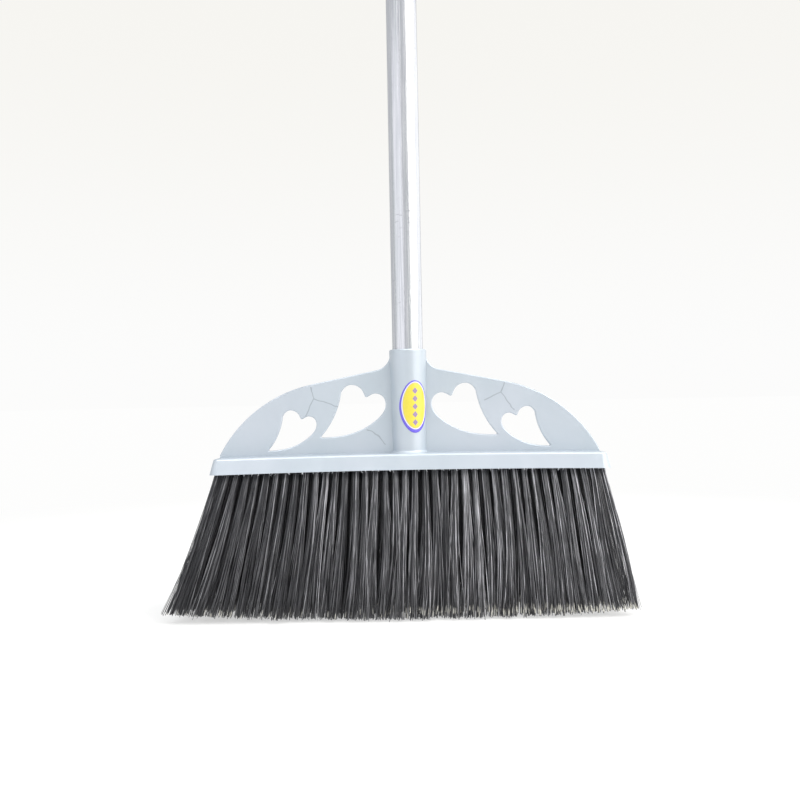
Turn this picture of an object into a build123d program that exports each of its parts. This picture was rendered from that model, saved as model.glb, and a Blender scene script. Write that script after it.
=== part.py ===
from build123d import *
import os
from math import acos, atan2, cos, radians, sin, sqrt, tan

# Household broom standing on its bristle tips.
# Frame: origin on the floor under the handle's axis, +Z up the handle, +X along the head, front at -Y.

# ---- driving dimensions, mm ----
BRISTLE_HEIGHT = 102.0       # floor to the middle of the flange's underside
FLANGE_HEIGHT = 11.0
FLANGE_LENGTH = 283.0        # at the underside
FLANGE_DEPTH = 44.0          # at the underside
FLANGE_DRAFT = 16.0          # degrees, all four sides lean in towards the top
FLANGE_CROWN = 1.5           # the middle stands this much higher than the ends
FLANGE_CORNER = 7.0
FLANGE_TOP_EDGE = 1.8

PLATE_THICKNESS = 4.6
PLATE_EDGE = 0.8
PLATE_SLOPE = 11.3           # degrees, straight stretch beside the socket
PLATE_SLOPE_END = (70.0, 163.2)   # where the straight stretch turns into the shoulder
SHOULDER_RADIUS = 97.0
SHOULDER_END_SLOPE = 62.0    # degrees, at the flange
PLATE_SOCKET_BLEND = 12.0
HEART_CORNER = 1.3           # at the notch
HEART_TIP_CORNER = 0.7
ROOT_OVERLAP = 5.0           # how deep the plate and the socket are sunk into the flange

SOCKET_RIM_Z = 187.0
SOCKET_RIM_RADIUS = 13.4
SOCKET_FOOT_RADIUS = 12.0
SOCKET_RIM_EDGE = 1.0
SOCKET_FOOT_BLEND = 2.2       # hollow radius where the socket stands on the flange
PLATE_SOCKET_OVERLAP = 0.6   # the plate's straight ends lie this far inside the socket's skin
PLATE_RIM_SETBACK = 1.5      # and this far below its rim
ENTRY_RADIUS = 11.45         # smooth bore that guides the tube
ENTRY_DEPTH = 8.0
BORE_FLOOR_Z = 140.0
BORE_DRILL_POINT = 3.0

HANDLE_RADIUS = 11.0         # over the film
FILM_THICKNESS = 0.28
TUBE_RADIUS = 10.7
TUBE_WALL = 0.4
TUBE_LENGTH = 1000.0

THREAD_PITCH = 5.0
THREAD_CORE_RADIUS = 8.5
THREAD_CREST_RADIUS = 9.9
THREAD_ROOT_WIDTH = 2.6
THREAD_CREST_WIDTH = 1.4
THREAD_CLEARANCE = 0.35
THREAD_LENGTH = 23.0
THREAD_NECK = 3.1            # plain stretch between the collar and the thread
THREAD_SINK = 0.5            # the ridge's foot below the core's surface
FERRULE_NOSE = 3.0           # plain stretch below the thread
FERRULE_BORE_RADIUS = 6.0
FERRULE_PLUG_LENGTH = 36.0
COLLAR_HEIGHT = 2.0
SEAT_GAP = 0.1
PRESS_GAP = 0.02             # parts laid or pressed together inside one body
TUBE_FIT = 0.06              # the ferrule's and the plug's shanks under the tube's bore

ROW_COUNT = 5
ROW_PITCH = 8.0
TUFTS_IN_WIDE_ROW = 40
TUFT_PITCH = 6.95
TUFT_RADIUS = 2.2
TUFT_TIP_RADIUS = 3.4
TUFT_TRIM = 6.0              # length drawn below the floor and then trimmed off
HOLE_RADIUS = 2.3
HOLE_DEPTH = 8.0
HOLE_MOUTH = 3.0             # how far each hole's cutter starts below the underside
END_FLARE = 27.0             # how far an end tuft's tip lies outside its hole
FLARE_LINEAR_SHARE = 0.45    # the rest of the flare grows with the cube of the place along the row
ROW_FLARE = 2.0              # tip spacing over hole spacing, front to back

ANCHOR_WIDTH = 5.0
ANCHOR_HEIGHT = 1.8
ANCHOR_THICKNESS = 0.5
ANCHOR_DEPTH = 5.6           # from the underside to the anchor's middle
ANCHOR_SLOT_GAP = 0.02       # all round the anchor in the tuft's fold

LABEL_Z = 146.0
LABEL_HEIGHT = 37.3
LABEL_WIDTH = 20.3           # across the chord of the socket
LABEL_TURN = 20.6            # degrees round from the front, towards +X
LABEL_THICKNESS = 0.2

PIN_RADIUS = 2.42
PIN_HOLE_RADIUS = 2.5
PIN_HEAD_RADIUS = 3.8
PIN_HEAD_HEIGHT = 2.0
PLUG_LENGTH = 20.0
PLUG_DOME_HEIGHT = 9.0
PLUG_TOP_RADIUS = 6.5
PLUG_WALL = 2.5
PLUG_CAP_RADIUS = 10.9       # just under the film's
PLUG_WEB = 4.0
SWIVEL_GAP = 0.2
EYE_RADIUS = 6.6
EYE_OUTER_RADIUS = 10.4      # slim enough for a clip to be pushed over it onto the handle
EYE_THICKNESS = 6.0
EYE_BASE_HEIGHT = 4.0
EYE_BASE_WIDTH = 15.0
EYE_WINDOW_HEIGHT = 4.5
EYE_WINDOW_WIDTH = 10.0
EYE_WINDOW_CORNER = 1.2
EYE_BRIDGE = 3.0             # between the window and the round hole

# ---- worked out from the above ----
FLANGE_TOP_Z = BRISTLE_HEIGHT + FLANGE_HEIGHT
SOCKET_LEAN = (SOCKET_RIM_RADIUS - SOCKET_FOOT_RADIUS) / (SOCKET_RIM_Z - FLANGE_TOP_Z)
SHOULDER_Z = SOCKET_RIM_Z - ENTRY_DEPTH
COLLAR_Z = SHOULDER_Z + SEAT_GAP
TUBE_Z = COLLAR_Z + COLLAR_HEIGHT
TUBE_TOP_Z = TUBE_Z + TUBE_LENGTH
THREAD_TOP_Z = COLLAR_Z - THREAD_NECK
SHANK_RADIUS = TUBE_RADIUS - TUBE_WALL - TUBE_FIT
PLUG_TOP_Z = TUBE_TOP_Z + PLUG_DOME_HEIGHT
EYE_BASE_Z = PLUG_TOP_Z + SWIVEL_GAP
EYE_WINDOW_Z = EYE_BASE_Z + EYE_BASE_HEIGHT
EYE_CENTRE_Z = EYE_WINDOW_Z + EYE_WINDOW_HEIGHT + EYE_BRIDGE + EYE_RADIUS


def cylinder(radius, low, high):
    """A cylinder on the handle's axis from one height to another."""
    return Pos(0, 0, low) * Cylinder(radius, high - low, align=(Align.CENTER, Align.CENTER, Align.MIN))


def turned(points):
    """A solid of revolution about the handle's axis from (radius, height) corners."""
    corners = [(radius, 0, height) for radius, height in points]
    return revolve(make_face(Polyline(*corners, close=True)), Axis.Z, 360)


# ---- head moulding ----

def flange_bottom_z(x):
    """Height of the flange's crowned underside at a place along the head."""
    return BRISTLE_HEIGHT - FLANGE_CROWN * (2 * x / FLANGE_LENGTH) ** 2


def flange():
    """The tapered bar that holds the tufts, gently crowned along its length."""
    half = FLANGE_LENGTH / 2 + FLANGE_CORNER
    edge_drop = FLANGE_CROWN * (2 * half / FLANGE_LENGTH) ** 2
    under = ThreePointArc(
        (-half, 0, BRISTLE_HEIGHT - edge_drop), (0, 0, BRISTLE_HEIGHT), (half, 0, BRISTLE_HEIGHT - edge_drop)
    )
    over = ThreePointArc(
        (half, 0, FLANGE_TOP_Z - edge_drop), (0, 0, FLANGE_TOP_Z), (-half, 0, FLANGE_TOP_Z - edge_drop)
    )
    right = Line(under @ 1, over @ 0)
    left = Line(over @ 1, under @ 0)
    band = extrude(make_face([under, right, over, left]), FLANGE_DEPTH, both=True)
    outline = RectangleRounded(FLANGE_LENGTH, FLANGE_DEPTH, FLANGE_CORNER)
    start = Pos(0, 0, BRISTLE_HEIGHT - FLANGE_CROWN)
    block = extrude(start * outline, FLANGE_HEIGHT + 2 * FLANGE_CROWN, taper=FLANGE_DRAFT)
    bar = band & block
    top_edges = bar.faces().sort_by(Axis.Z)[-1].edges()
    return fillet(top_edges, FLANGE_TOP_EDGE)


def heart(notch_x, notch_z, size, turn):
    """Heart with its notch at the given place and its tip down and outwards; size 1 is the large one."""
    notch = (0, 0)
    outer = (18.8, -1.8)
    tip = (33.3, -28.1)
    inner_lobe = [(-5.8, -17.4), (-14.4, -5.0), (-12.2, 0.9), (-7.2, 3.0)]
    side = ThreePointArc(outer, (22.8, -12.9), tip)
    side_start = side % 0
    lobe = Spline(
        notch, (2.5, 5.6), (10.0, 9.6), (14.5, 8.1), (17.3, 4.7), outer,
        tangents=((0.5, 1), (side_start.X, side_start.Y)),
    )
    underside = Spline(tip, (14.0, -26.4), *inner_lobe, notch, tangents=((-1, 0), (1, -0.5)))
    face = make_face([lobe, side, underside])
    face = fillet(face.vertices().sort_by(Axis.X)[-1], HEART_TIP_CORNER)
    face = fillet(face.vertices().sort_by_distance((*notch, 0))[0], HEART_CORNER)
    return Pos(notch_x, notch_z) * Rot(0, 0, turn) * scale(face, size)


def plate_outline():
    """Right half of the fan plate, drawn with the head's length along x and its height along y."""
    slope = radians(PLATE_SLOPE)
    end_slope = radians(SHOULDER_END_SLOPE)
    bend_x, bend_z = PLATE_SLOPE_END
    foot_x = bend_x + SHOULDER_RADIUS * (sin(end_slope) - sin(slope))
    foot_z = bend_z - SHOULDER_RADIUS * (cos(slope) - cos(end_slope))
    middle = (slope + end_slope) / 2
    middle_x = bend_x + SHOULDER_RADIUS * (sin(middle) - sin(slope))
    middle_z = bend_z - SHOULDER_RADIUS * (cos(slope) - cos(middle))
    wall_x = SOCKET_RIM_RADIUS - PLATE_SOCKET_OVERLAP
    corner_z = bend_z + (bend_x - wall_x) * tan(slope)
    base_z = FLANGE_TOP_Z - ROOT_OVERLAP
    top_z = SOCKET_RIM_Z - PLATE_RIM_SETBACK
    outline = [
        Line((0, base_z), (foot_x, base_z)),
        Line((foot_x, base_z), (foot_x, foot_z)),
        ThreePointArc((foot_x, foot_z), (middle_x, middle_z), (bend_x, bend_z)),
        Line((bend_x, bend_z), (wall_x, corner_z)),
        Line((wall_x, corner_z), (wall_x, top_z)),
        Line((wall_x, top_z), (0, top_z)),
        Line((0, top_z), (0, base_z)),
    ]
    face = make_face(outline)
    corner = face.vertices().sort_by_distance((wall_x, corner_z, 0))[0]
    return fillet(corner, PLATE_SOCKET_BLEND)


def plate():
    """The fan plate with its four hearts, edges softened on both faces."""
    half = plate_outline()
    half -= heart(31.0, 152.8, 1.0, 0)
    half -= heart(77.7, 137.8, 0.755, -1.8)
    whole = half + mirror(half, Plane.YZ)
    slab = extrude(Plane.XZ * whole, PLATE_THICKNESS / 2, both=True)
    face_edges = slab.edges().filter_by(lambda edge: abs(edge.center().Y) > PLATE_THICKNESS / 4)
    shown_edges = face_edges.filter_by_position(
        Axis.Z, FLANGE_TOP_Z + PLATE_EDGE, SOCKET_RIM_Z - 2 * PLATE_RIM_SETBACK
    )
    return fillet(shown_edges, PLATE_EDGE)


def thread(core, crest, root_width, crest_width, low, high):
    """A right-hand helical ridge whose foot is sunk into the core."""
    widen = (root_width - crest_width) / (crest - core) * THREAD_SINK
    helix = Helix(THREAD_PITCH, high - low, core, center=(0, 0, low))
    half_root = (root_width + widen) / 2
    half_crest = crest_width / 2
    corners = [
        (core - THREAD_SINK, 0, low - half_root),
        (crest, 0, low - half_crest),
        (crest, 0, low + half_crest),
        (core - THREAD_SINK, 0, low + half_root),
    ]
    profile = make_face(Polyline(*corners, close=True))
    return sweep(profile, path=helix, is_frenet=True)


def socket():
    """The tapered socket, solid, from inside the flange to its softened rim."""
    low = FLANGE_TOP_Z - ROOT_OVERLAP
    low_radius = SOCKET_FOOT_RADIUS - ROOT_OVERLAP * SOCKET_LEAN
    body = turned([(0, low), (low_radius, low), (SOCKET_RIM_RADIUS, SOCKET_RIM_Z), (0, SOCKET_RIM_Z)])
    rim = body.edges().filter_by(GeomType.CIRCLE).sort_by(Axis.Z)[-1]
    return fillet(rim, SOCKET_RIM_EDGE)


def socket_foot():
    """The hollow ring that blends the socket into the flange's top."""
    top = FLANGE_TOP_Z
    tight = SOCKET_FOOT_RADIUS + SOCKET_FOOT_BLEND * (1 - sin(radians(45)))
    section = make_face([
        Line((0, 0, top - 1), (SOCKET_FOOT_RADIUS + SOCKET_FOOT_BLEND, 0, top - 1)),
        Line(
            (SOCKET_FOOT_RADIUS + SOCKET_FOOT_BLEND, 0, top - 1),
            (SOCKET_FOOT_RADIUS + SOCKET_FOOT_BLEND, 0, top),
        ),
        ThreePointArc(
            (SOCKET_FOOT_RADIUS + SOCKET_FOOT_BLEND, 0, top),
            (tight, 0, top + tight - SOCKET_FOOT_RADIUS),
            (SOCKET_FOOT_RADIUS, 0, top + SOCKET_FOOT_BLEND),
        ),
        Line((SOCKET_FOOT_RADIUS, 0, top + SOCKET_FOOT_BLEND), (0, 0, top + SOCKET_FOOT_BLEND)),
        Line((0, 0, top + SOCKET_FOOT_BLEND), (0, 0, top - 1)),
    ])
    return revolve(section, Axis.Z, 360)


def socket_cavity():
    """Bores of the socket: tube entry, thread core, relief below the thread."""
    core = THREAD_CORE_RADIUS + THREAD_CLEARANCE
    return turned([
        (0, BORE_FLOOR_Z - BORE_DRILL_POINT),
        (core - 1, BORE_FLOOR_Z),
        (core, BORE_FLOOR_Z + 2),
        (core, SHOULDER_Z),
        (ENTRY_RADIUS, SHOULDER_Z),
        (ENTRY_RADIUS, SOCKET_RIM_Z - 0.5),
        (ENTRY_RADIUS + 0.6, SOCKET_RIM_Z + 0.1),
        (0, SOCKET_RIM_Z + 0.1),
    ])


def female_thread():
    """The groove that the ferrule's ridge runs in, open at the shoulder."""
    return thread(
        THREAD_CORE_RADIUS + THREAD_CLEARANCE,
        THREAD_CREST_RADIUS + THREAD_CLEARANCE,
        THREAD_ROOT_WIDTH + 2 * THREAD_CLEARANCE,
        THREAD_CREST_WIDTH + 2 * THREAD_CLEARANCE,
        THREAD_TOP_Z - THREAD_LENGTH - THREAD_PITCH,
        THREAD_TOP_Z + THREAD_PITCH,
    )


# ---- tufts ----

def tuft_places(row):
    """Places along the head of the holes in one row; odd rows sit in the gaps of even ones."""
    count = TUFTS_IN_WIDE_ROW - row % 2
    return [(i - (count - 1) / 2) * TUFT_PITCH for i in range(count)]


def tuft_frame(row, x):
    """Plane at a hole's mouth: its z axis points up the hole, against the tuft's lean."""
    y = (row - (ROW_COUNT - 1) / 2) * ROW_PITCH
    z = flange_bottom_z(x)
    share = x / (TUFT_PITCH * (TUFTS_IN_WIDE_ROW - 1) / 2)
    flare = END_FLARE * (FLARE_LINEAR_SHARE * share + (1 - FLARE_LINEAR_SHARE) * share**3)
    up = Vector(-flare, -y * (ROW_FLARE - 1), z)
    return Plane(origin=(x, y, z), x_dir=(1, 0, flare / z), z_dir=up)


def tuft(frame):
    """One folded tuft: shank in the hole, spreading below it, trimmed flat at the floor."""
    length = frame.origin.Z / frame.z_dir.Z
    spread = (TUFT_TIP_RADIUS - TUFT_RADIUS) / length
    fold = HOLE_DEPTH - ANCHOR_THICKNESS
    body = turned([
        (0, -length - TUFT_TRIM),
        (TUFT_TIP_RADIUS + spread * TUFT_TRIM, -length - TUFT_TRIM),
        (TUFT_RADIUS, 0),
        (TUFT_RADIUS, fold),
        (0, fold),
    ])
    slot_thickness = ANCHOR_THICKNESS + 2 * ANCHOR_SLOT_GAP
    slot_height = ANCHOR_HEIGHT + 2 * ANCHOR_SLOT_GAP
    body -= Pos(0, 0, ANCHOR_DEPTH) * Box(2 * ANCHOR_WIDTH, slot_thickness, slot_height)
    body = frame * body
    reach = 2 * FLANGE_LENGTH
    floor = Pos(0, 0, -reach / 2) * Box(reach, reach, reach)
    return body - floor


def anchor(frame):
    """One flat staple driven across the bottom of a hole, biting into its wall."""
    return frame * (Pos(0, 0, ANCHOR_DEPTH) * Box(ANCHOR_WIDTH, ANCHOR_THICKNESS, ANCHOR_HEIGHT))


def hole(frame):
    """One blind hole for a tuft, with some length below the mouth to cut cleanly."""
    return frame * cylinder(HOLE_RADIUS, -HOLE_MOUTH, HOLE_DEPTH)


def head_moulding(frames):
    """Flange, plate and socket in one piece, then everything that is cut into them."""
    body = flange() + plate() + socket() + socket_foot()
    body -= socket_cavity()
    body -= female_thread()
    return body - [hole(frame) for frame in frames]


# ---- sticker ----

def socket_label():
    """A thin oval that follows the socket's taper, turned a little to one side."""
    low = LABEL_Z - LABEL_HEIGHT
    high = LABEL_Z + LABEL_HEIGHT
    low_radius = SOCKET_FOOT_RADIUS + (low - FLANGE_TOP_Z) * SOCKET_LEAN + PRESS_GAP
    high_radius = SOCKET_FOOT_RADIUS + (high - FLANGE_TOP_Z) * SOCKET_LEAN + PRESS_GAP
    skin = turned([
        (low_radius, low),
        (low_radius + LABEL_THICKNESS, low),
        (high_radius + LABEL_THICKNESS, high),
        (high_radius, high),
    ])
    oval = Plane.XZ * Ellipse(LABEL_WIDTH / 2, LABEL_HEIGHT / 2)
    stamp = extrude(oval, SOCKET_RIM_RADIUS * 2)
    return skin & (Rot(0, 0, LABEL_TURN) * Pos(0, 0, LABEL_Z) * stamp)


# ---- handle ----

def threaded_ferrule():
    """Plug for the tube's lower end with a collar and the coarse male thread below it."""
    nose_z = THREAD_TOP_Z - THREAD_LENGTH - FERRULE_NOSE
    body = turned([
        (FERRULE_BORE_RADIUS, nose_z),
        (THREAD_CORE_RADIUS - 1, nose_z),
        (THREAD_CORE_RADIUS, nose_z + 1.5),
        (THREAD_CORE_RADIUS, COLLAR_Z),
        (TUBE_RADIUS, COLLAR_Z),
        (TUBE_RADIUS, TUBE_Z - PRESS_GAP),
        (SHANK_RADIUS, TUBE_Z - PRESS_GAP),
        (SHANK_RADIUS, TUBE_Z + FERRULE_PLUG_LENGTH - 1.5),
        (SHANK_RADIUS - 1, TUBE_Z + FERRULE_PLUG_LENGTH),
        (FERRULE_BORE_RADIUS, TUBE_Z + FERRULE_PLUG_LENGTH),
    ])
    ridge = thread(
        THREAD_CORE_RADIUS,
        THREAD_CREST_RADIUS,
        THREAD_ROOT_WIDTH,
        THREAD_CREST_WIDTH,
        THREAD_TOP_Z - THREAD_LENGTH,
        THREAD_TOP_Z,
    )
    return body + ridge


def handle_tube():
    """Thin-walled round steel tube."""
    return cylinder(TUBE_RADIUS, TUBE_Z, TUBE_TOP_Z) - cylinder(TUBE_RADIUS - TUBE_WALL, TUBE_Z, TUBE_TOP_Z)


def handle_film():
    """Film drawn over the tube, from the socket's rim to the cap."""
    inner = HANDLE_RADIUS - FILM_THICKNESS
    return cylinder(HANDLE_RADIUS, SOCKET_RIM_Z, TUBE_TOP_Z) - cylinder(inner, SOCKET_RIM_Z, TUBE_TOP_Z)


def top_plug():
    """Domed cap pressed into the tube's upper end, with a hole for the hanger pin."""
    low = TUBE_TOP_Z - PLUG_LENGTH
    cap_z = TUBE_TOP_Z + PRESS_GAP
    return turned([
        (SHANK_RADIUS - PLUG_WALL, low),
        (SHANK_RADIUS - 1, low),
        (SHANK_RADIUS, low + 1.5),
        (SHANK_RADIUS, cap_z),
        (PLUG_CAP_RADIUS, cap_z),
        (PLUG_CAP_RADIUS, TUBE_TOP_Z + PLUG_DOME_HEIGHT / 3),
        (PLUG_CAP_RADIUS - 1.3, TUBE_TOP_Z + 2 * PLUG_DOME_HEIGHT / 3),
        (PLUG_TOP_RADIUS, PLUG_TOP_Z),
        (PIN_HOLE_RADIUS, PLUG_TOP_Z),
        (PIN_HOLE_RADIUS, PLUG_TOP_Z - PLUG_WEB),
        (SHANK_RADIUS - PLUG_WALL, PLUG_TOP_Z - PLUG_WEB - 2),
    ])


def hanger_pin():
    """Snap rivet: flat head above the eye's base, barb under the plug's web."""
    barb_top = PLUG_TOP_Z - PLUG_WEB - 0.3
    head_z = EYE_WINDOW_Z + SWIVEL_GAP
    return turned([
        (0, barb_top - 4),
        (1.6, barb_top - 4),
        (PIN_RADIUS + 0.9, barb_top),
        (PIN_RADIUS, barb_top),
        (PIN_RADIUS, head_z),
        (PIN_HEAD_RADIUS, head_z),
        (PIN_HEAD_RADIUS, head_z + PIN_HEAD_HEIGHT - 0.5),
        (PIN_HEAD_RADIUS - 0.5, head_z + PIN_HEAD_HEIGHT),
        (0, head_z + PIN_HEAD_HEIGHT),
    ])


def hanger_loop():
    """Flat eye with a round hole, a window for the pin's head and a bored base."""
    foot_half = EYE_BASE_WIDTH / 2
    drop = EYE_CENTRE_Z - EYE_BASE_Z
    to_foot = atan2(-drop, foot_half)
    to_touch = to_foot + acos(EYE_OUTER_RADIUS / sqrt(foot_half**2 + drop**2))
    side_x = EYE_OUTER_RADIUS * cos(to_touch)
    side_z = EYE_CENTRE_Z + EYE_OUTER_RADIUS * sin(to_touch)
    outline = make_face([
        Line((-foot_half, EYE_BASE_Z), (foot_half, EYE_BASE_Z)),
        Line((foot_half, EYE_BASE_Z), (side_x, side_z)),
        ThreePointArc((side_x, side_z), (0, EYE_CENTRE_Z + EYE_OUTER_RADIUS), (-side_x, side_z)),
        Line((-side_x, side_z), (-foot_half, EYE_BASE_Z)),
    ])
    outline -= Pos(0, EYE_CENTRE_Z) * Circle(EYE_RADIUS)
    window_z = EYE_WINDOW_Z + EYE_WINDOW_HEIGHT / 2
    outline -= Pos(0, window_z) * RectangleRounded(EYE_WINDOW_WIDTH, EYE_WINDOW_HEIGHT, EYE_WINDOW_CORNER)
    body = extrude(Plane.XZ * outline, EYE_THICKNESS / 2, both=True)
    base = cylinder(PLUG_TOP_RADIUS, EYE_BASE_Z, EYE_WINDOW_Z)
    return body + base - cylinder(PIN_HOLE_RADIUS, EYE_BASE_Z - 1, EYE_WINDOW_Z + 0.5)


def main():
    rows = [[tuft_frame(row, x) for x in tuft_places(row)] for row in range(ROW_COUNT)]
    parts = {
        "head_moulding": head_moulding([frame for row in rows for frame in row]),
        "socket_label": socket_label(),
        "threaded_ferrule": threaded_ferrule(),
        "handle_tube": handle_tube(),
        "handle_film": handle_film(),
        "top_plug": top_plug(),
        "hanger_pin": hanger_pin(),
        "hanger_loop": hanger_loop(),
    }
    for number, frames in enumerate(rows, start=1):
        parts[f"tuft_row_{number}"] = Compound([tuft(frame) for frame in frames])
        parts[f"tuft_anchors_{number}"] = Compound([anchor(frame) for frame in frames])
    os.makedirs("parts", exist_ok=True)
    for name, shape in parts.items():
        export_step(shape, f"parts/{name}.step")


main()
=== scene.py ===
import math

import bmesh
import bpy
import numpy as np
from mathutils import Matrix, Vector
from mathutils.bvhtree import BVHTree


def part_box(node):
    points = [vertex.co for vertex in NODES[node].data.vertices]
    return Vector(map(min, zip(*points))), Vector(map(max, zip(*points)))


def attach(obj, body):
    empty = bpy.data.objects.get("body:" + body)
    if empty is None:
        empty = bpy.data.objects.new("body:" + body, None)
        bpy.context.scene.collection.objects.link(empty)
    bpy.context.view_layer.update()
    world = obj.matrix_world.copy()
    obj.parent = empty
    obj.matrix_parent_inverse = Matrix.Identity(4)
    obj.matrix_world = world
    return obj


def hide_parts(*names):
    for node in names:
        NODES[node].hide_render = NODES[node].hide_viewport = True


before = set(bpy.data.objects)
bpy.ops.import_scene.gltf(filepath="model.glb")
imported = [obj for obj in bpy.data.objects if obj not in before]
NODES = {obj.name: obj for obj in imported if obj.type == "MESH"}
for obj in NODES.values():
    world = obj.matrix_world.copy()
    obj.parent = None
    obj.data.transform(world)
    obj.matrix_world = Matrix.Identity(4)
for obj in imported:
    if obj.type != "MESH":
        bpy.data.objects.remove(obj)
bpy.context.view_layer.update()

# A household broom on its bristle tips. Metres, +Z up the handle, +X along the head, front at -Y.
MM = 0.001

# ---- sizes ----
FILAMENT_RADIUS = 0.25 * MM
FILAMENT_SIDES = 4
FILAMENT_STEPS = 8
GOLDEN_ANGLE = 137.508        # degrees, spreads points evenly over a disc
ROWS = range(1, 6)
OUTER_ROWS = (1, 5)
OUTER_ROW_FILAMENTS = 54      # in each tuft of the front and back rows
INNER_ROW_FILAMENTS = 42
TUFT_MOUTH_RADIUS = 1.85 * MM
TUFT_START = 4 * MM           # how deep in its hole a filament starts
TUFT_OPENING = 1.4            # the tips' spread over that of the plain solid
TUFT_LEAN = (1.4 * MM, 1.3 * MM)   # how far whole tufts lean, along and across the head
TUFT_BOW = 1.3 * MM           # how far whole tufts bow
TIP_SCATTER = 1.1 * MM
WAYWARD_SHARE = 0.2           # filaments that leave their tuft
WAYWARD_SCATTER = 3.4 * MM
FILAMENT_BOW = 0.7 * MM
FILAMENT_WAVE = 0.22 * MM
SHORT_SHARE = 0.15            # filaments that end early
SHORT_BY = (1.5 * MM, 6 * MM)
TIP_GAP = 0.3 * MM            # between the lowest tips and the floor
END_RISE = 4.3 * MM           # how much higher the end tufts are trimmed
TRIM_SLANT = 2.2 * MM         # how much higher the tips lie at the -X end than at the +X end
TRAIL = 4.0 * MM              # how far the tips are bent towards -X
END_PULL = 8.0 * MM           # how far the tips at the +X end are bent inwards as well
STRAYS_PER_END = 2            # filaments at each end of a row that stand away from it
STRAY_REACH = (3, 9)          # mm
STRAY_THINNESS = 0.55         # over the other filaments

FLAKE_PLACES = 130            # along each edge of the head; about half stay empty
FLAKE_EMPTY_SHARE = 0.45
FLAKE_LENGTH = (0.8, 3.0)     # mm
FLAKE_TAPER = [[1.0, 1.2, 1.1, 0.8, 0.4]]   # thickness along a flake, over its own

FILM_TUCK = 1.5 * MM          # how far the film runs down into the socket's mouth
FILM_LONG_TUCKS = [
    # angle from the front and width in radians, depth in mm: lengthwise folds of the film
    (-0.05, 0.045, -0.05),
    (0.11, 0.05, 0.06),
    (-1.35, 0.06, 0.06),
    (2.3, 0.06, 0.08),
]
FILM_CREASE_PITCH = 26 * MM   # between short cross creases
FILM_AROUND = 120             # faces round the film
FILM_ALONG = 620

LABEL_TURN = 20.6             # degrees round from the front, towards +X
LABEL_YELLOW_SHIFT = (0.15 * MM, 0.75 * MM)
LABEL_YELLOW_HALF = (8.65 * MM, 16.35 * MM)
LABEL_RING_WIDTH = 0.60 * MM  # pale gap between the yellow field and the violet border
LABEL_THICKNESS = 0.2 * MM
LABEL_AROUND = 96             # faces round the sticker's edge
LABEL_RINGS = 14

FLOOR_RADIUS = 40
FLOOR_GLOW = 0.55             # share of the floor's tone near the object that doesn't depend on the lights
FLOOR_SHADED = 0.30           # up to this distance; the share then grows
FLOOR_WHITE = 0.85            # beyond this distance the floor is the backdrop's own white

# ---- camera ----
LENS = 38.25                  # mm, on a sensor 36 mm wide
SENSOR = 36.0
CAMERA_PLACE = (-6.2 * MM, -614.5 * MM, 150.8 * MM)
CAMERA_ROLL = 1.1             # degrees


def make_camera():
    """Level camera in front of the head, rolled a little."""
    data = bpy.data.cameras.new("camera")
    data.sensor_width = SENSOR
    data.lens = LENS
    camera = bpy.data.objects.new("camera", data)
    bpy.context.scene.collection.objects.link(camera)
    camera.location = CAMERA_PLACE
    camera.rotation_euler = (math.radians(90), math.radians(CAMERA_ROLL), 0)
    bpy.context.scene.camera = camera


# ---- shader helpers ----

def put(tree, socket, value):
    """Links a socket, or sets its own value."""
    if isinstance(value, bpy.types.NodeSocket):
        tree.links.new(value, socket)
    else:
        socket.default_value = value


def add(tree, kind, *values, **settings):
    """Adds a shader node; values go to its inputs in order, None leaves one alone."""
    node = tree.nodes.new("ShaderNode" + kind)
    for key, value in settings.items():
        setattr(node, key, value)
    for socket, value in zip(node.inputs, values):
        if value is not None:
            put(tree, socket, value)
    return node


def maths(tree, operation, *values, clamp=False):
    """The result of one Math node."""
    return add(tree, "Math", *values, operation=operation, use_clamp=clamp).outputs[0]


def times(tree, first, second):
    """The product of two values."""
    return maths(tree, "MULTIPLY", first, second)


def plus(tree, first, second):
    """The sum of two values."""
    return maths(tree, "ADD", first, second)


def minus(tree, first, second):
    """The difference of two values."""
    return maths(tree, "SUBTRACT", first, second)


def ramp(tree, value, low, high, to_low=0.0, to_high=1.0):
    """A smooth step of a value from one range to another."""
    node = add(tree, "MapRange", interpolation_type="SMOOTHSTEP")
    for name, setting in zip(
        ("Value", "From Min", "From Max", "To Min", "To Max"), (value, low, high, to_low, to_high)
    ):
        put(tree, node.inputs[name], setting)
    return node.outputs["Result"]


def mix_colours(tree, share, first, second):
    """A colour between two others, by the Mix node's colour sockets."""
    node = add(tree, "Mix", data_type="RGBA")
    put(tree, node.inputs[0], share)
    put(tree, node.inputs[6], first)
    put(tree, node.inputs[7], second)
    return node.outputs[2]


def noise(tree, place, scale, detail=3.0, roughness=0.5, distortion=0.0):
    """A noise value at a place."""
    node = add(tree, "TexNoise")
    put(tree, node.inputs["Vector"], place)
    put(tree, node.inputs["Scale"], scale)
    put(tree, node.inputs["Detail"], detail)
    put(tree, node.inputs["Roughness"], roughness)
    put(tree, node.inputs["Distortion"], distortion)
    return node.outputs["Fac"]


def stretched(tree, place, factors):
    """A place with each axis scaled."""
    return add(tree, "VectorMath", place, factors, operation="MULTIPLY").outputs[0]


def bump(tree, shader, height, strength, distance):
    """Feeds a height into the shader's normal."""
    node = add(tree, "Bump")
    put(tree, node.inputs["Strength"], strength)
    put(tree, node.inputs["Distance"], distance)
    put(tree, node.inputs["Height"], height)
    tree.links.new(node.outputs["Normal"], shader.inputs["Normal"])


def new_material(name, **inputs):
    """A material with its shader, its tree and the object coordinates."""
    material = bpy.data.materials.new(name)
    material.use_nodes = True
    tree = material.node_tree
    shader = tree.nodes["Principled BSDF"]
    for key, value in inputs.items():
        shader.inputs[key.replace("_", " ")].default_value = value
    place = add(tree, "TexCoord").outputs["Object"]
    return material, tree, shader, place


# ---- materials ----

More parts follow.
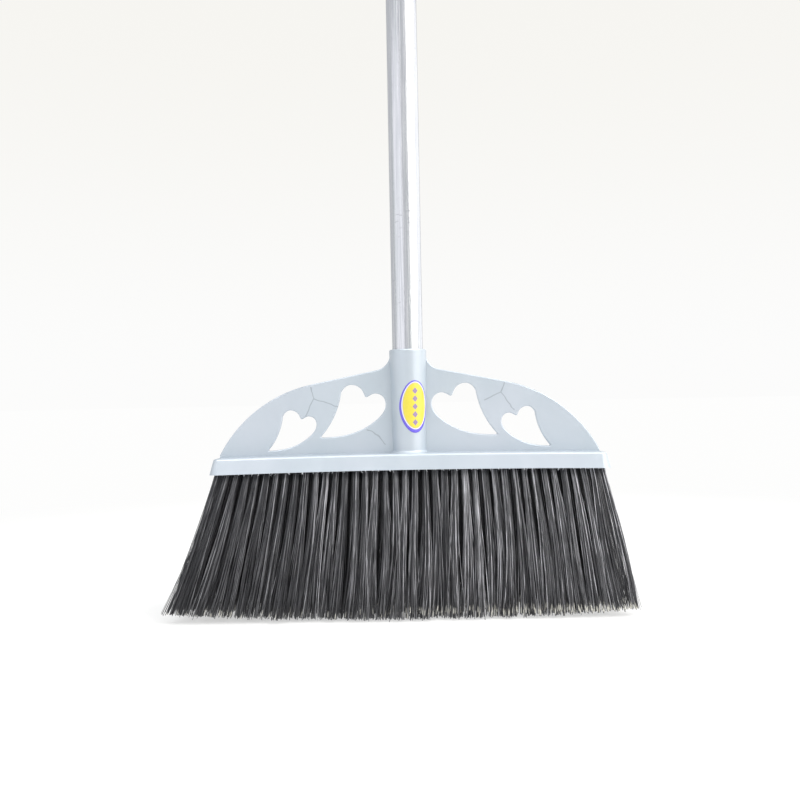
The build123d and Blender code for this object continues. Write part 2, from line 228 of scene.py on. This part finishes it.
KNIT_LINES = [
    # (x, z) to (x, z) in mm on the plate: seams where the melt met in the mould
    ((-70.4, 161.2), (-68.5, 152.9)),
    ((-68.5, 152.9), (-50.7, 146.7)),
    ((-68.5, 152.9), (-74.4, 140.5)),
    ((69.2, 161.9), (66.8, 155.4)),
    ((66.8, 155.4), (54.6, 149.7)),
    ((66.8, 155.4), (75.6, 142.0)),
    ((-30.3, 129.7), (-22.6, 126.0)),
    ((-22.6, 126.0), (-17.3, 119.3)),
]
KNIT_HALF_WIDTH = 0.38 * MM
KNIT_WAVER = 2.4 * MM


def knit_line_mask(tree, place):
    """1 on the seams in the plate, 0 elsewhere."""
    waver = noise(tree, place, 160, 2)
    across = add(tree, "VectorMath", operation="SCALE")
    put(tree, across.inputs[0], (1.0, 0.0, 1.0))
    put(tree, across.inputs["Scale"], times(tree, minus(tree, waver, 0.5), KNIT_WAVER))
    flat = stretched(tree, place, (1, 0, 1))
    point = add(tree, "VectorMath", flat, across.outputs[0], operation="ADD").outputs[0]
    nearest = None
    for start, end in KNIT_LINES:
        first = Vector((start[0], 0, start[1])) * MM
        line = Vector((end[0], 0, end[1])) * MM - first
        from_first = add(tree, "VectorMath", point, first, operation="SUBTRACT").outputs[0]
        along = add(tree, "VectorMath", from_first, line / line.length_squared, operation="DOT_PRODUCT")
        share = maths(tree, "ADD", along.outputs["Value"], 0, clamp=True)
        foot = add(tree, "VectorMath", line, operation="SCALE")
        put(tree, foot.inputs["Scale"], share)
        gap = add(tree, "VectorMath", from_first, foot.outputs[0], operation="DISTANCE").outputs["Value"]
        nearest = gap if nearest is None else maths(tree, "MINIMUM", nearest, gap)
    return ramp(tree, nearest, 0.2 * KNIT_HALF_WIDTH, 1.6 * KNIT_HALF_WIDTH, 1, 0)


def head_plastic():
    """Silver-grey moulded polypropylene with flow marks and a fine satin skin."""
    material, tree, shader, place = new_material(
        "head_plastic", Metallic=0.3, Coat_Weight=0.2, Coat_Roughness=0.15
    )
    flow = noise(tree, stretched(tree, place, (1, 1, 0.7)), 26, 4, 0.55, 1.2)
    cloud = noise(tree, place, 9, 2)
    tone = mix_colours(tree, ramp(tree, flow, 0.35, 0.68), (0.475, 0.535, 0.585, 1), (0.505, 0.56, 0.61, 1))
    tone = mix_colours(tree, ramp(tree, cloud, 0.4, 0.65, 0, 0.5), tone, (0.535, 0.57, 0.63, 1))
    seams = knit_line_mask(tree, place)
    tone = mix_colours(tree, times(tree, seams, 0.55), tone, (0.20, 0.23, 0.26, 1))
    put(tree, shader.inputs["Base Color"], tone)
    put(tree, shader.inputs["Roughness"], ramp(tree, flow, 0.3, 0.7, 0.30, 0.36))
    grain = noise(tree, place, 1500, 2)
    waves = noise(tree, place, 45, 1)
    height = plus(tree, times(tree, grain, 0.08), waves)
    height = minus(tree, height, times(tree, seams, 0.3))
    bump(tree, shader, height, 0.2, 0.1 * MM)
    return material


def shuffled(tree, value, factor):
    """Another value from 0 to 1, made from one of that range."""
    return maths(tree, "FRACT", times(tree, value, factor))


def bristle_plastic(name, pale):
    """Black drawn filament: each strand a little lighter or darker, darker towards the tips, with painted
    shade on the -X side; its cut end pale, with painted glints towards +X.
    """
    material, tree, shader, place = new_material(name, Roughness=0.3)
    island = add(tree, "NewGeometry").outputs["Random Per Island"]
    spot = add(tree, "SeparateXYZ", place)
    height = spot.outputs["Z"]
    own_line = add(tree, "CombineXYZ", times(tree, island, 400), 0, times(tree, height, 60)).outputs[0]
    streak = noise(tree, own_line, 1, 2)
    lightness = times(tree, maths(tree, "POWER", island, 2.6), ramp(tree, streak, 0.38, 0.62, 0.3, 1.1))
    # painted shade: the filaments darker towards -X, the side the lights reach less
    painted_shade_left = ramp(tree, spot.outputs["X"], -170 * MM, 60 * MM, 0.36, 1)
    lightness = times(tree, lightness, painted_shade_left)
    tone = mix_colours(tree, lightness, (0.028, 0.029, 0.033, 1), (pale, pale, 1.05 * pale, 1))
    # darker towards the tips
    darker_low = ramp(tree, height, 5 * MM, 80 * MM, 0.30, 0)
    tone = mix_colours(tree, darker_low, tone, (0.020, 0.020, 0.023, 1))
    uneven = plus(tree, height, times(tree, shuffled(tree, island, 29.1), 5 * MM))
    above = ramp(tree, uneven, 6 * MM, 7 * MM)
    below = ramp(tree, uneven, 9 * MM, 11 * MM, 1, 0)
    ends = times(tree, above, below)
    # pale cut ends: split ends are paler, and their share grows towards +X as a painted glint of the light
    # from that side
    split_and_glint_threshold = ramp(tree, spot.outputs["X"], -60 * MM, 120 * MM, 0.90, 0.50)
    split_and_glint = maths(tree, "GREATER_THAN", shuffled(tree, island, 17.3), split_and_glint_threshold)
    tone = mix_colours(tree, times(tree, ends, split_and_glint), tone, (0.86, 0.84, 0.76, 1))
    put(tree, shader.inputs["Base Color"], tone)
    put(tree, shader.inputs["Roughness"], ramp(tree, streak, 0.3, 0.7, 0.32, 0.5))
    return material


def film_material():
    """Silver film, drawn tight, faintly streaked along the handle, with thin darker lines across it in
    patches: painted shade of crinkles.
    """
    material, tree, shader, place = new_material("handle_film", Metallic=0.8, Roughness=0.16)
    along = stretched(tree, place, (1, 1, 0.02))
    streak = noise(tree, along, 1100, 3)
    broad = noise(tree, along, 260, 3)
    tone = mix_colours(tree, ramp(tree, streak, 0.35, 0.65), (0.63, 0.645, 0.685, 1), (0.77, 0.78, 0.815, 1))
    tone = mix_colours(tree, ramp(tree, broad, 0.45, 0.6, 0, 0.5), tone, (0.63, 0.665, 0.68, 1))
    # painted shade: thin darker lines across the film in patches, for the shade of its crinkles
    crease_shade_lines = ramp(tree, noise(tree, stretched(tree, place, (0.3, 0.3, 1)), 560, 1), 0.68, 0.76)
    crease_shade_patches = ramp(tree, noise(tree, place, 21, 1), 0.45, 0.60, 0, 0.32)
    tone = mix_colours(tree, times(tree, crease_shade_lines, crease_shade_patches), tone, (0.36, 0.37, 0.39, 1))
    put(tree, shader.inputs["Base Color"], tone)
    put(tree, shader.inputs["Roughness"], ramp(tree, streak, 0.3, 0.7, 0.13, 0.24))
    ripples = noise(tree, stretched(tree, place, (1, 1, 0.30)), 240, 4, 0.6)
    calm = ramp(tree, noise(tree, place, 11, 1), 0.42, 0.62, 0.15, 1)
    crinkles = noise(tree, stretched(tree, place, (1, 1, 0.6)), 650, 3)
    patches = ramp(tree, noise(tree, place, 16, 1), 0.50, 0.60)
    height = plus(tree, times(tree, ripples, calm), times(tree, crinkles, patches))
    bump(tree, shader, height, 0.6, 0.2 * MM)
    return material


def label_coordinates(tree, place, centre):
    """How far a point of the sticker lies across and above its centre."""
    turn = math.radians(LABEL_TURN)
    sideways = Vector((math.cos(turn), math.sin(turn), 0))
    across = add(tree, "VectorMath", place, sideways, operation="DOT_PRODUCT").outputs["Value"]
    height = add(tree, "SeparateXYZ", place).outputs["Z"]
    return across, minus(tree, height, centre)


def oval_reach(tree, across, up, half_width, half_height):
    """1 on the edge of an oval round the yellow field's centre, less inside it."""
    shift_across, shift_up = LABEL_YELLOW_SHIFT
    x = maths(tree, "DIVIDE", minus(tree, across, shift_across), half_width)
    z = maths(tree, "DIVIDE", minus(tree, up, shift_up), half_height)
    return maths(tree, "SQRT", plus(tree, times(tree, x, x), times(tree, z, z)))


def diamond_mask(tree, across, up):
    """1 inside a column of small printed diamonds."""
    pitch = 5.6 * MM
    half_width = 2.0 * MM
    half_height = 2.4 * MM
    column_half = 14.0 * MM
    along = maths(tree, "FLOORED_MODULO", plus(tree, up, column_half), pitch)
    step = minus(tree, along, pitch / 2)
    x = maths(tree, "DIVIDE", maths(tree, "ABSOLUTE", across), half_width)
    z = maths(tree, "DIVIDE", maths(tree, "ABSOLUTE", step), half_height)
    inside = ramp(tree, plus(tree, x, z), 0.94, 1.06, 1, 0)
    in_column = maths(tree, "LESS_THAN", maths(tree, "ABSOLUTE", up), column_half)
    return times(tree, inside, in_column)


def label_print(centre):
    """Coated sticker: yellow oval with diamonds, thin brown line, pale ring, violet border."""
    material, tree, shader, place = new_material(
        "label_print", Roughness=0.24, Coat_Weight=0.6, Coat_Roughness=0.12
    )
    across, up = label_coordinates(tree, place, centre)
    half_width, half_height = LABEL_YELLOW_HALF
    field = oval_reach(tree, across, up, half_width, half_height)
    line = oval_reach(tree, across, up, half_width + LABEL_RING_WIDTH, half_height + LABEL_RING_WIDTH)
    fibre = noise(tree, place, 1400, 3)
    yellow = mix_colours(tree, ramp(tree, fibre, 0.3, 0.7), (0.68, 0.575, 0.042, 1), (0.73, 0.615, 0.060, 1))
    violet = mix_colours(tree, ramp(tree, fibre, 0.3, 0.7), (0.115, 0.085, 0.60, 1), (0.14, 0.105, 0.66, 1))
    tone = mix_colours(tree, diamond_mask(tree, across, up), yellow, (0.27, 0.19, 0.36, 1))
    tone = mix_colours(tree, ramp(tree, field, 0.965, 0.985), tone, (0.45, 0.38, 0.26, 1))
    tone = mix_colours(tree, ramp(tree, field, 0.990, 1.010), tone, (0.76, 0.75, 0.82, 1))
    tone = mix_colours(tree, ramp(tree, line, 0.995, 1.005), tone, violet)
    put(tree, shader.inputs["Base Color"], tone)
    bump(tree, shader, noise(tree, place, 300, 3), 0.12, 0.05 * MM)
    return material


def rolled_steel():
    """Bare thin-walled steel tube, rolled lengthwise."""
    material, tree, shader, place = new_material("tube_steel", Metallic=1.0, Roughness=0.3)
    streak = noise(tree, stretched(tree, place, (1, 1, 0.01)), 1600, 3)
    tone = mix_colours(tree, streak, (0.40, 0.40, 0.41, 1), (0.60, 0.60, 0.60, 1))
    put(tree, shader.inputs["Base Color"], tone)
    put(tree, shader.inputs["Roughness"], ramp(tree, streak, 0.3, 0.7, 0.22, 0.42))
    bump(tree, shader, streak, 0.2, 0.05 * MM)
    return material


def strip_steel():
    """Bare steel strip, cut into staples."""
    material, tree, shader, place = new_material("anchor_steel", Metallic=1.0, Roughness=0.4)
    grain = noise(tree, place, 2400, 3)
    tone = mix_colours(tree, grain, (0.42, 0.42, 0.43, 1), (0.62, 0.62, 0.61, 1))
    put(tree, shader.inputs["Base Color"], tone)
    put(tree, shader.inputs["Roughness"], ramp(tree, grain, 0.3, 0.7, 0.3, 0.5))
    bump(tree, shader, grain, 0.2, 0.03 * MM)
    return material


def moulded(name, dark, light, roughness):
    """Plain moulded plastic with slight flow marks and a fine skin."""
    material, tree, shader, place = new_material(name, Roughness=roughness)
    flow = noise(tree, place, 110, 4, 0.55, 0.8)
    put(tree, shader.inputs["Base Color"], mix_colours(tree, ramp(tree, flow, 0.3, 0.7), dark, light))
    put(tree, shader.inputs["Roughness"], ramp(tree, flow, 0.3, 0.7, roughness - 0.05, roughness + 0.07))
    skin = plus(tree, noise(tree, place, 1800, 2), times(tree, flow, 2))
    bump(tree, shader, skin, 0.2, 0.04 * MM)
    return material


# ---- mesh helpers ----

def add_piece(name, points, faces, body, material):
    """A new smooth-shaded mesh, made from plain lists, that moves with a body."""
    mesh = bpy.data.meshes.new(name)
    mesh.from_pydata(points, [], faces)
    mesh.polygons.foreach_set("use_smooth", [True] * len(mesh.polygons))
    mesh.materials.append(material)
    mesh.update()
    piece = bpy.data.objects.new(name, mesh)
    bpy.context.scene.collection.objects.link(piece)
    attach(piece, body)
    return piece


def strands(paths, radii, rng):
    """Points and faces of closed strands along (count, steps, 3) paths with (count, steps) radii."""
    count, steps, _ = paths.shape
    turn = rng.uniform(0, 2 * np.pi, (count, 1, 1))
    angles = turn + 2 * np.pi * np.arange(FILAMENT_SIDES) / FILAMENT_SIDES
    ring = np.stack((np.cos(angles), np.sin(angles), np.zeros_like(angles)), axis=-1)
    points = paths[:, :, None, :] + ring * radii[:, :, None, None]
    index = np.arange(count * steps * FILAMENT_SIDES).reshape(count, steps, FILAMENT_SIDES)
    beside = np.roll(index, -1, axis=2)
    walls = np.stack((index[:, :-1], index[:, 1:], beside[:, 1:], beside[:, :-1]), axis=-1)
    faces = np.concatenate((walls.reshape(-1, 4), index[:, 0], index[:, -1, ::-1]))
    return points.reshape(-1, 3).tolist(), faces.tolist()


# ---- bristles ----

def separate_solids(node):
    """The corner positions of each closed solid in a CAD node, in order along the head."""
    shape = bmesh.new()
    shape.from_mesh(node.data)
    bmesh.ops.remove_doubles(shape, verts=shape.verts, dist=0.001 * MM)
    left = set(shape.verts)
    solids = []
    while left:
        front = [left.pop()]
        found = []
        while front:
            vertex = front.pop()
            found.append(vertex.co[:])
            for edge in vertex.link_edges:
                other = edge.other_vert(vertex)
                if other in left:
                    left.remove(other)
                    front.append(other)
        solids.append(np.array(found))
    shape.free()
    return sorted(solids, key=lambda points: points[:, 0].min())


def middle(points):
    """The middle of some points' box."""
    return (points.min(0) + points.max(0)) / 2


def tuft_axis(points, mouth_z):
    """Where a tuft's axis leaves its hole, where it meets the floor, and its radius there."""
    low = points[points[:, 2] < 0.01 * MM]
    foot = middle(low)
    shank = middle(points[points[:, 2] > mouth_z])
    mouth = foot + (shank - foot) * (mouth_z - foot[2]) / (shank[2] - foot[2])
    return mouth, foot, (low[:, 1].max() - low[:, 1].min()) / 2


def disc(count, radius, rng):
    """Points spread evenly over a disc, each a little displaced."""
    number = np.arange(count) + 0.5
    angle = number * math.radians(GOLDEN_ANGLE) + rng.uniform(0, 2 * np.pi)
    reach = radius * np.sqrt(number / count)
    spots = np.stack((reach * np.cos(angle), reach * np.sin(angle)), axis=1)
    return spots + rng.normal(0, 0.08 * radius, (count, 2))


def tuft_paths(mouth, foot, foot_radius, share, count, rng):
    """Lines of one tuft's filaments, from inside the hole down to the trimmed ends."""
    start = disc(count, TUFT_MOUTH_RADIUS, rng)
    spread = foot_radius * TUFT_OPENING / TUFT_MOUTH_RADIUS
    lean = rng.normal(0, TUFT_LEAN) * (1 - 0.6 * abs(share))
    end = start * spread + lean + rng.normal(0, TIP_SCATTER, (count, 2))
    wayward = rng.random(count) < WAYWARD_SHARE
    end[wayward] += rng.normal(0, WAYWARD_SCATTER, (wayward.sum(), 2)) * (1 - 0.5 * abs(share))
    bow = rng.normal(0, TUFT_BOW, 2) + rng.normal(0, FILAMENT_BOW, (count, 2))
    wave = rng.normal(0, FILAMENT_WAVE, (count, 2))
    short = rng.random(count) < SHORT_SHARE
    phase = rng.uniform(0, 2 * np.pi, (count, 1))
    trim = END_RISE * abs(share) ** 3 + TRIM_SLANT * (1 - share) / 2
    unevenness = (0.35 + 0.6 * max(share, 0)) * MM
    tip_z = foot[2] + TIP_GAP + np.abs(rng.normal(0, unevenness, count)) + trim
    tip_z[short] += rng.uniform(*SHORT_BY, short.sum())
    inside = -TUFT_START / (mouth[2] - foot[2])
    paths = np.zeros((count, FILAMENT_STEPS, 3))
    for step, t in enumerate(np.linspace(inside, 1, FILAMENT_STEPS)):
        opened = max(t, 0.0)
        spreading = opened ** 1.35
        axis = mouth + (foot - mouth) * t
        curve = bow * math.sin(math.pi * opened) + wave * np.sin(2.6 * np.pi * opened + phase)
        paths[:, step, :2] = axis[:2] + start * (1 - spreading) + end * spreading + curve * opened ** 0.5
        paths[:, step, 0] -= TRAIL * opened ** 2 + END_PULL * max(share, 0) ** 4 * opened ** 0.8
        paths[:, step, 2] = mouth[2] * (1 - t) + tip_z * t
    return paths


def bend_strays(paths, radii, count, rng):
    """Makes a few thin filaments at each end of a row stand away from their tuft."""
    opened = np.linspace(0, 1, FILAMENT_STEPS) ** 1.5
    for side, first in ((-1, 0), (1, len(paths) - count)):
        for stray in first + rng.choice(count, STRAYS_PER_END, replace=False):
            paths[stray, :, 0] += side * rng.uniform(*STRAY_REACH) * MM * opened
            radii[stray] *= STRAY_THINNESS


def bristle_row(number, material):
    """Every filament of one row of tufts."""
    rng = np.random.default_rng(1000 + number)
    node = f"tuft_row_{number}"
    count = OUTER_ROW_FILAMENTS if number in OUTER_ROWS else INNER_ROW_FILAMENTS
    mouth_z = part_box("head_moulding")[0].z + 0.8 * MM
    tufts = separate_solids(NODES[node])
    half = max(abs(middle(points)[0]) for points in tufts)
    paths = []
    for points in tufts:
        mouth, foot, foot_radius = tuft_axis(points, mouth_z)
        paths.append(tuft_paths(mouth, foot, foot_radius, middle(points)[0] / half, count, rng))
    paths = np.concatenate(paths)
    radii = np.full(paths.shape[:2], FILAMENT_RADIUS) * rng.uniform(0.85, 1.12, (len(paths), 1))
    bend_strays(paths, radii, count, rng)
    points, faces = strands(paths, radii, rng)
    piece = add_piece(f"bristle_row_{number}", points, faces, "head", material)
    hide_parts(node)


# ---- flakes of plastic left round the tuft holes ----

def drilling_flakes(material):
    """Short curled shavings that cling to the underside between the tufts."""
    rng = np.random.default_rng(77)
    head = NODES["head_moulding"]
    surface = BVHTree.FromPolygons(
        [vertex.co for vertex in head.data.vertices], [face.vertices[:] for face in head.data.polygons]
    )
    low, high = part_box("head_moulding")
    paths = []
    for side in (-1, 1):
        for x in np.linspace(low.x + 5 * MM, high.x - 5 * MM, FLAKE_PLACES):
            x += rng.normal(0, 1.2 * MM)
            y = side * (high.y - rng.uniform(0.6, 3.2) * MM)
            place, normal = surface.ray_cast(Vector((x, y, 0)), Vector((0, 0, 1)))[:2]
            if place is None or normal.z > -0.5 or rng.random() < FLAKE_EMPTY_SHARE:
                continue
            length = rng.uniform(*FLAKE_LENGTH) * MM
            heading = rng.uniform(0, 2 * np.pi)
            curl = rng.uniform(-2.0, 2.0)
            path = []
            for share in np.linspace(-0.2, 1, 5):
                turn = heading + curl * share
                sideways = 0.45 * length * share
                path.append((
                    x + sideways * math.cos(turn),
                    y + sideways * math.sin(turn),
                    place.z - length * share * (1 - 0.35 * share),
                ))
            paths.append(path)
    paths = np.array(paths)
    radii = rng.uniform(0.10, 0.26, (len(paths), 1)) * MM * np.array(FLAKE_TAPER)
    points, faces = strands(paths, radii, rng)
    add_piece("drilling_flakes", points, faces, "head", material)


# ---- sticker ----

def label(material):
    """Thin oval sticker bent round the tapered socket."""
    corners = np.array([vertex.co for vertex in NODES["socket_label"].data.vertices])
    low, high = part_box("socket_label")
    centre = (low.z + high.z) / 2
    half_height = (high.z - low.z) / 2
    turn = math.radians(LABEL_TURN)
    across = corners[:, 0] * math.cos(turn) + corners[:, 1] * math.sin(turn)
    half_width = np.abs(across).max()
    slope, offset = np.polyfit(corners[:, 2], np.hypot(corners[:, 0], corners[:, 1]), 1)

    def bent(side, up, lift):
        """A point of the flat sticker on the socket, lifted off its middle skin."""
        radius = slope * (centre + up) + offset
        bend = math.asin(side / radius) + turn
        return (radius + lift) * math.sin(bend), -(radius + lift) * math.cos(bend), centre + up

    face = LABEL_THICKNESS / 2
    levels = [(1, -face), (1, 0.6 * face), (0.988, face)]
    levels += [(1 - ring / LABEL_RINGS, face) for ring in range(1, LABEL_RINGS)]
    points = []
    for reach, lift in levels:
        for step in range(LABEL_AROUND):
            angle = 2 * math.pi * step / LABEL_AROUND
            side = half_width * reach * math.cos(angle)
            points.append(bent(side, half_height * reach * math.sin(angle), lift))
    faces = []
    for level in range(len(levels) - 1):
        for step in range(LABEL_AROUND):
            first = level * LABEL_AROUND + step
            beside = level * LABEL_AROUND + (step + 1) % LABEL_AROUND
            faces.append((first, beside, beside + LABEL_AROUND, first + LABEL_AROUND))
    top = len(points)
    bottom = top + 1
    points += [bent(0, 0, face), bent(0, 0, -face)]
    last = (len(levels) - 1) * LABEL_AROUND
    for step in range(LABEL_AROUND):
        beside = (step + 1) % LABEL_AROUND
        faces.append((last + step, last + beside, top))
        faces.append((beside, step, bottom))
    piece = add_piece("oval_sticker", points, faces, "head", material)
    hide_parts("socket_label")


# ---- handle film ----

def film_relief(angle, z, creases):
    """How far the film stands off its round shape: lengthwise tucks and short cross creases."""
    relief = 0.035 * MM * np.sin(2 * angle + 9 * z + 1.0) + 0.02 * MM * np.sin(5 * angle - 14 * z)
    for place, width, depth in FILM_LONG_TUCKS:
        drift = place + 0.03 * np.sin(11 * z + 6 * place)
        gap = np.angle(np.exp(1j * (angle - drift)))
        relief += depth * MM * np.exp(-((gap / width) ** 2))
    for place, height, reach, width, depth, slant in creases:
        gap = np.angle(np.exp(1j * (angle - place)))
        off = (z - height - slant * gap) / width
        relief += depth * np.exp(-off**2) * np.exp(-((gap / reach) ** 4))
    return relief


def handle_film(material):
    """The film as a fine closed skin round the tube."""
    rng = np.random.default_rng(5)
    low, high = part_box("handle_film")
    low.z -= FILM_TUCK
    outer = high.x
    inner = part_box("handle_tube")[1].x + 0.02 * MM
    creases = []
    for height in np.arange(low.z + 30 * MM, high.z - 10 * MM, FILM_CREASE_PITCH):
        creases.append((
            rng.uniform(-np.pi, np.pi),
            height + rng.normal(0, 8 * MM),
            rng.uniform(0.25, 0.8),
            rng.uniform(1.0, 2.2) * MM,
            rng.uniform(-0.12, 0.10) * MM,
            rng.normal(0, 2.5 * MM),
        ))
    angle = 2 * np.pi * np.arange(FILM_AROUND) / FILM_AROUND
    z = low.z + (high.z - low.z) * np.arange(FILM_ALONG + 1) / FILM_ALONG
    angle_grid, z_grid = np.meshgrid(angle, z)
    radius = outer + film_relief(angle_grid, z_grid, creases)
    skin = np.stack((radius * np.sin(angle_grid), -radius * np.cos(angle_grid), z_grid), axis=-1)
    ends = np.array([
        [(inner * math.sin(a), -inner * math.cos(a), end) for a in angle] for end in (low.z, high.z)
    ])
    rings = np.concatenate((ends[:1], skin, ends[1:]))
    index = np.arange(len(rings) * FILM_AROUND).reshape(len(rings), FILM_AROUND)
    beside = np.roll(index, -1, axis=1)
    above = np.roll(index, -1, axis=0)
    beside_above = np.roll(beside, -1, axis=0)
    faces = np.stack((index, beside, beside_above, above), axis=-1).reshape(-1, 4).tolist()
    points = rings.reshape(-1, 3).tolist()
    piece = add_piece("film_sleeve", points, faces, "handle", material)
    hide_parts("handle_film")


# ---- studio ----

def softbox(name, azimuth, height, distance, width, tall, power, colour=(1, 1, 1)):
    """A soft rectangular light that faces the head; azimuth counts from the front towards +X."""
    data = bpy.data.lights.new(name, "AREA")
    data.shape = "RECTANGLE"
    data.size = width
    data.size_y = tall
    data.energy = power
    data.color = colour
    light = bpy.data.objects.new(name, data)
    bpy.context.scene.collection.objects.link(light)
    turn = math.radians(azimuth)
    light.location = (distance * math.sin(turn), -distance * math.cos(turn), height)
    aim = Vector((0, 0, 0.25)) - light.location
    light.rotation_euler = aim.to_track_quat("-Z", "Y").to_euler()
    light.visible_camera = False


def studio_world():
    """A pale surround: what the camera sees behind the object, and a dimmer light all round."""
    world = bpy.data.worlds.new("studio")
    bpy.context.scene.world = world
    world.use_nodes = True
    tree = world.node_tree
    tree.nodes.clear()
    height = add(tree, "SeparateXYZ", add(tree, "TexCoord").outputs["Generated"]).outputs["Z"]
    rise = ramp(tree, height, 0.02, 0.42)
    seen = mix_colours(tree, rise, (0.972, 0.972, 0.968, 1), (0.925, 0.915, 0.882, 1))
    backdrop = add(tree, "Background", seen, 1.0).outputs[0]
    surround = add(tree, "Background", (0.97, 0.985, 1.0, 1), 0.60).outputs[0]
    camera_ray = add(tree, "LightPath").outputs["Is Camera Ray"]
    both = add(tree, "MixShader", camera_ray, surround, backdrop).outputs[0]
    output = add(tree, "OutputWorld")
    tree.links.new(both, output.inputs["Surface"])


def floor():
    """A wide pale sweep that turns into the backdrop's own white away from the object."""
    material, tree, shader, place = new_material(
        "floor", Base_Color=(0.93, 0.93, 0.925, 1), Roughness=0.75, Specular_IOR_Level=0.2
    )
    reach = add(tree, "VectorMath", place, operation="LENGTH").outputs["Value"]
    glow = add(tree, "Emission", (0.985, 0.985, 0.98, 1), 1.0).outputs[0]
    share = ramp(tree, reach, FLOOR_SHADED, FLOOR_WHITE, FLOOR_GLOW, 1)
    both = add(tree, "MixShader", share, shader.outputs[0], glow).outputs[0]
    tree.links.new(both, tree.nodes["Material Output"].inputs["Surface"])
    bpy.ops.mesh.primitive_circle_add(vertices=96, radius=FLOOR_RADIUS, fill_type="NGON")
    sweep = bpy.context.object
    sweep.name = "floor"
    sweep.data.materials.append(material)


# ---- the broom ----

def paint(node, material):
    """Gives a CAD node one material."""
    data = NODES[node].data
    data.materials.clear()
    data.materials.append(material)


bpy.context.scene.view_settings.view_transform = "Standard"
make_camera()
studio_world()
floor()
softbox("front_top", 8, 3.88, 1.65, 5.3, 3.5, 96)
softbox("key", 60, 0.60, 1.3, 1.4, 1.3, 8.4, (1.0, 0.945, 0.885))
softbox("side_top", 72, 2.67, 2.53, 2.9, 2.2, 73)
softbox("rear_right", 118, 0.5, 1.4, 1.5, 1.2, 3.6)
softbox("left_fill", -52, 0.50, 1.5, 2.1, 1.1, 3.4, (0.95, 0.93, 1.0))
softbox("left_high", -30, 2.67, 2.42, 1.5, 1.1, 12)
softbox("overhead", 0, 3.88, -0.66, 4.0, 3.1, 19)

STAPLE_STEEL = strip_steel()
CAP_PLASTIC = moulded("cap_plastic", (0.34, 0.39, 0.44, 1), (0.39, 0.445, 0.50, 1), 0.34)
paint("head_moulding", head_plastic())
paint("threaded_ferrule", moulded("ferrule_plastic", (0.26, 0.265, 0.28, 1), (0.33, 0.335, 0.345, 1), 0.4))
paint("handle_tube", rolled_steel())
paint("top_plug", CAP_PLASTIC)
paint("hanger_loop", CAP_PLASTIC)
paint("hanger_pin", moulded("pin_plastic", (0.29, 0.33, 0.38, 1), (0.35, 0.40, 0.45, 1), 0.36))

# the inner rows take a darker copy of the filament: painted shade in the gaps between the front tufts
OUTER_BRISTLE = bristle_plastic("bristle_outer", 0.74)
SHADED_INNER_BRISTLE = bristle_plastic("bristle_inner_painted_shade", 0.30)
for row_number in ROWS:
    paint(f"tuft_anchors_{row_number}", STAPLE_STEEL)
    bristle_row(row_number, OUTER_BRISTLE if row_number in OUTER_ROWS else SHADED_INNER_BRISTLE)
drilling_flakes(moulded("flake_plastic", (0.62, 0.66, 0.70, 1), (0.80, 0.82, 0.84, 1), 0.5))
LABEL_LOW, LABEL_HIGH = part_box("socket_label")
label(label_print((LABEL_LOW.z + LABEL_HIGH.z) / 2))
handle_film(film_material())
